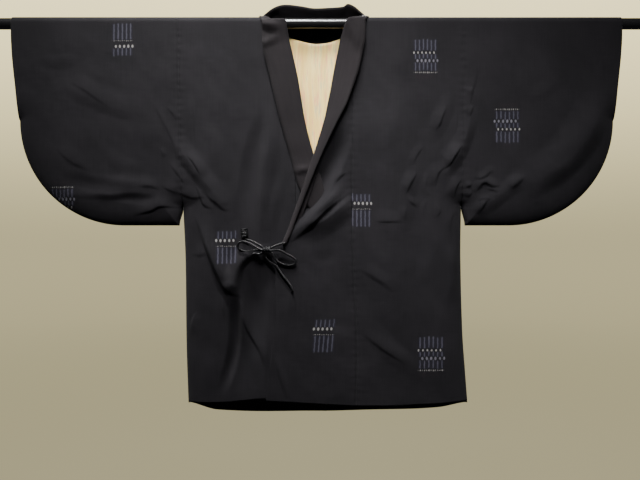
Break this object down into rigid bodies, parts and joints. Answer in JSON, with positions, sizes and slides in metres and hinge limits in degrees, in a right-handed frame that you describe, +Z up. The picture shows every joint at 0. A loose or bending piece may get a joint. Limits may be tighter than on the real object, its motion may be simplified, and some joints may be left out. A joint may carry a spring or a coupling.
{
  "type": "kimono overcoat on a rod",
  "caption": "Dark kimono overcoat with wide round-cornered sleeves and a folded collar, hung by its sleeves on a rod and tied at the front with a cord bow.",
  "frame": {"origin": "on the rod's axis, midway between the cuffs", "axes": "+X along the rod to the viewer's right, which is the wearer's left; +Y from the coat's front to its back; +Z up"},
  "size_m": [1.401, 0.0865, 0.8771],
  "materials": {
    "outer_cloth": "dull, fine-woven silk with kasuri patches",
    "collar_cloth": "dull, fine-woven silk",
    "lining": "smooth silk with pale blurred streaks",
    "tie_cord": "soft round cord",
    "rod": "glossy black"
  },
  "bodies": {
    "root": {"back_left": "outer_cloth", "back_right": "outer_cloth", "front_left": "outer_cloth", "front_right": "outer_cloth", "okumi_left": "outer_cloth", "okumi_right": "outer_cloth", "sleeve_left_front": "outer_cloth", "sleeve_left_back": "outer_cloth", "sleeve_right_front": "outer_cloth", "sleeve_right_back": "outer_cloth", "collar": "collar_cloth", "lining_back": "lining", "tie_root": "tie_cord", "tie_knot": "tie_cord", "tie_run_root": "tie_cord", "tie_run_edge": "tie_cord", "tie_loop_left": "tie_cord", "tie_loop_right": "tie_cord", "tie_end_left": "tie_cord", "tie_end_right": "tie_cord", "rod": "rod"}
  },
  "joints": []
}
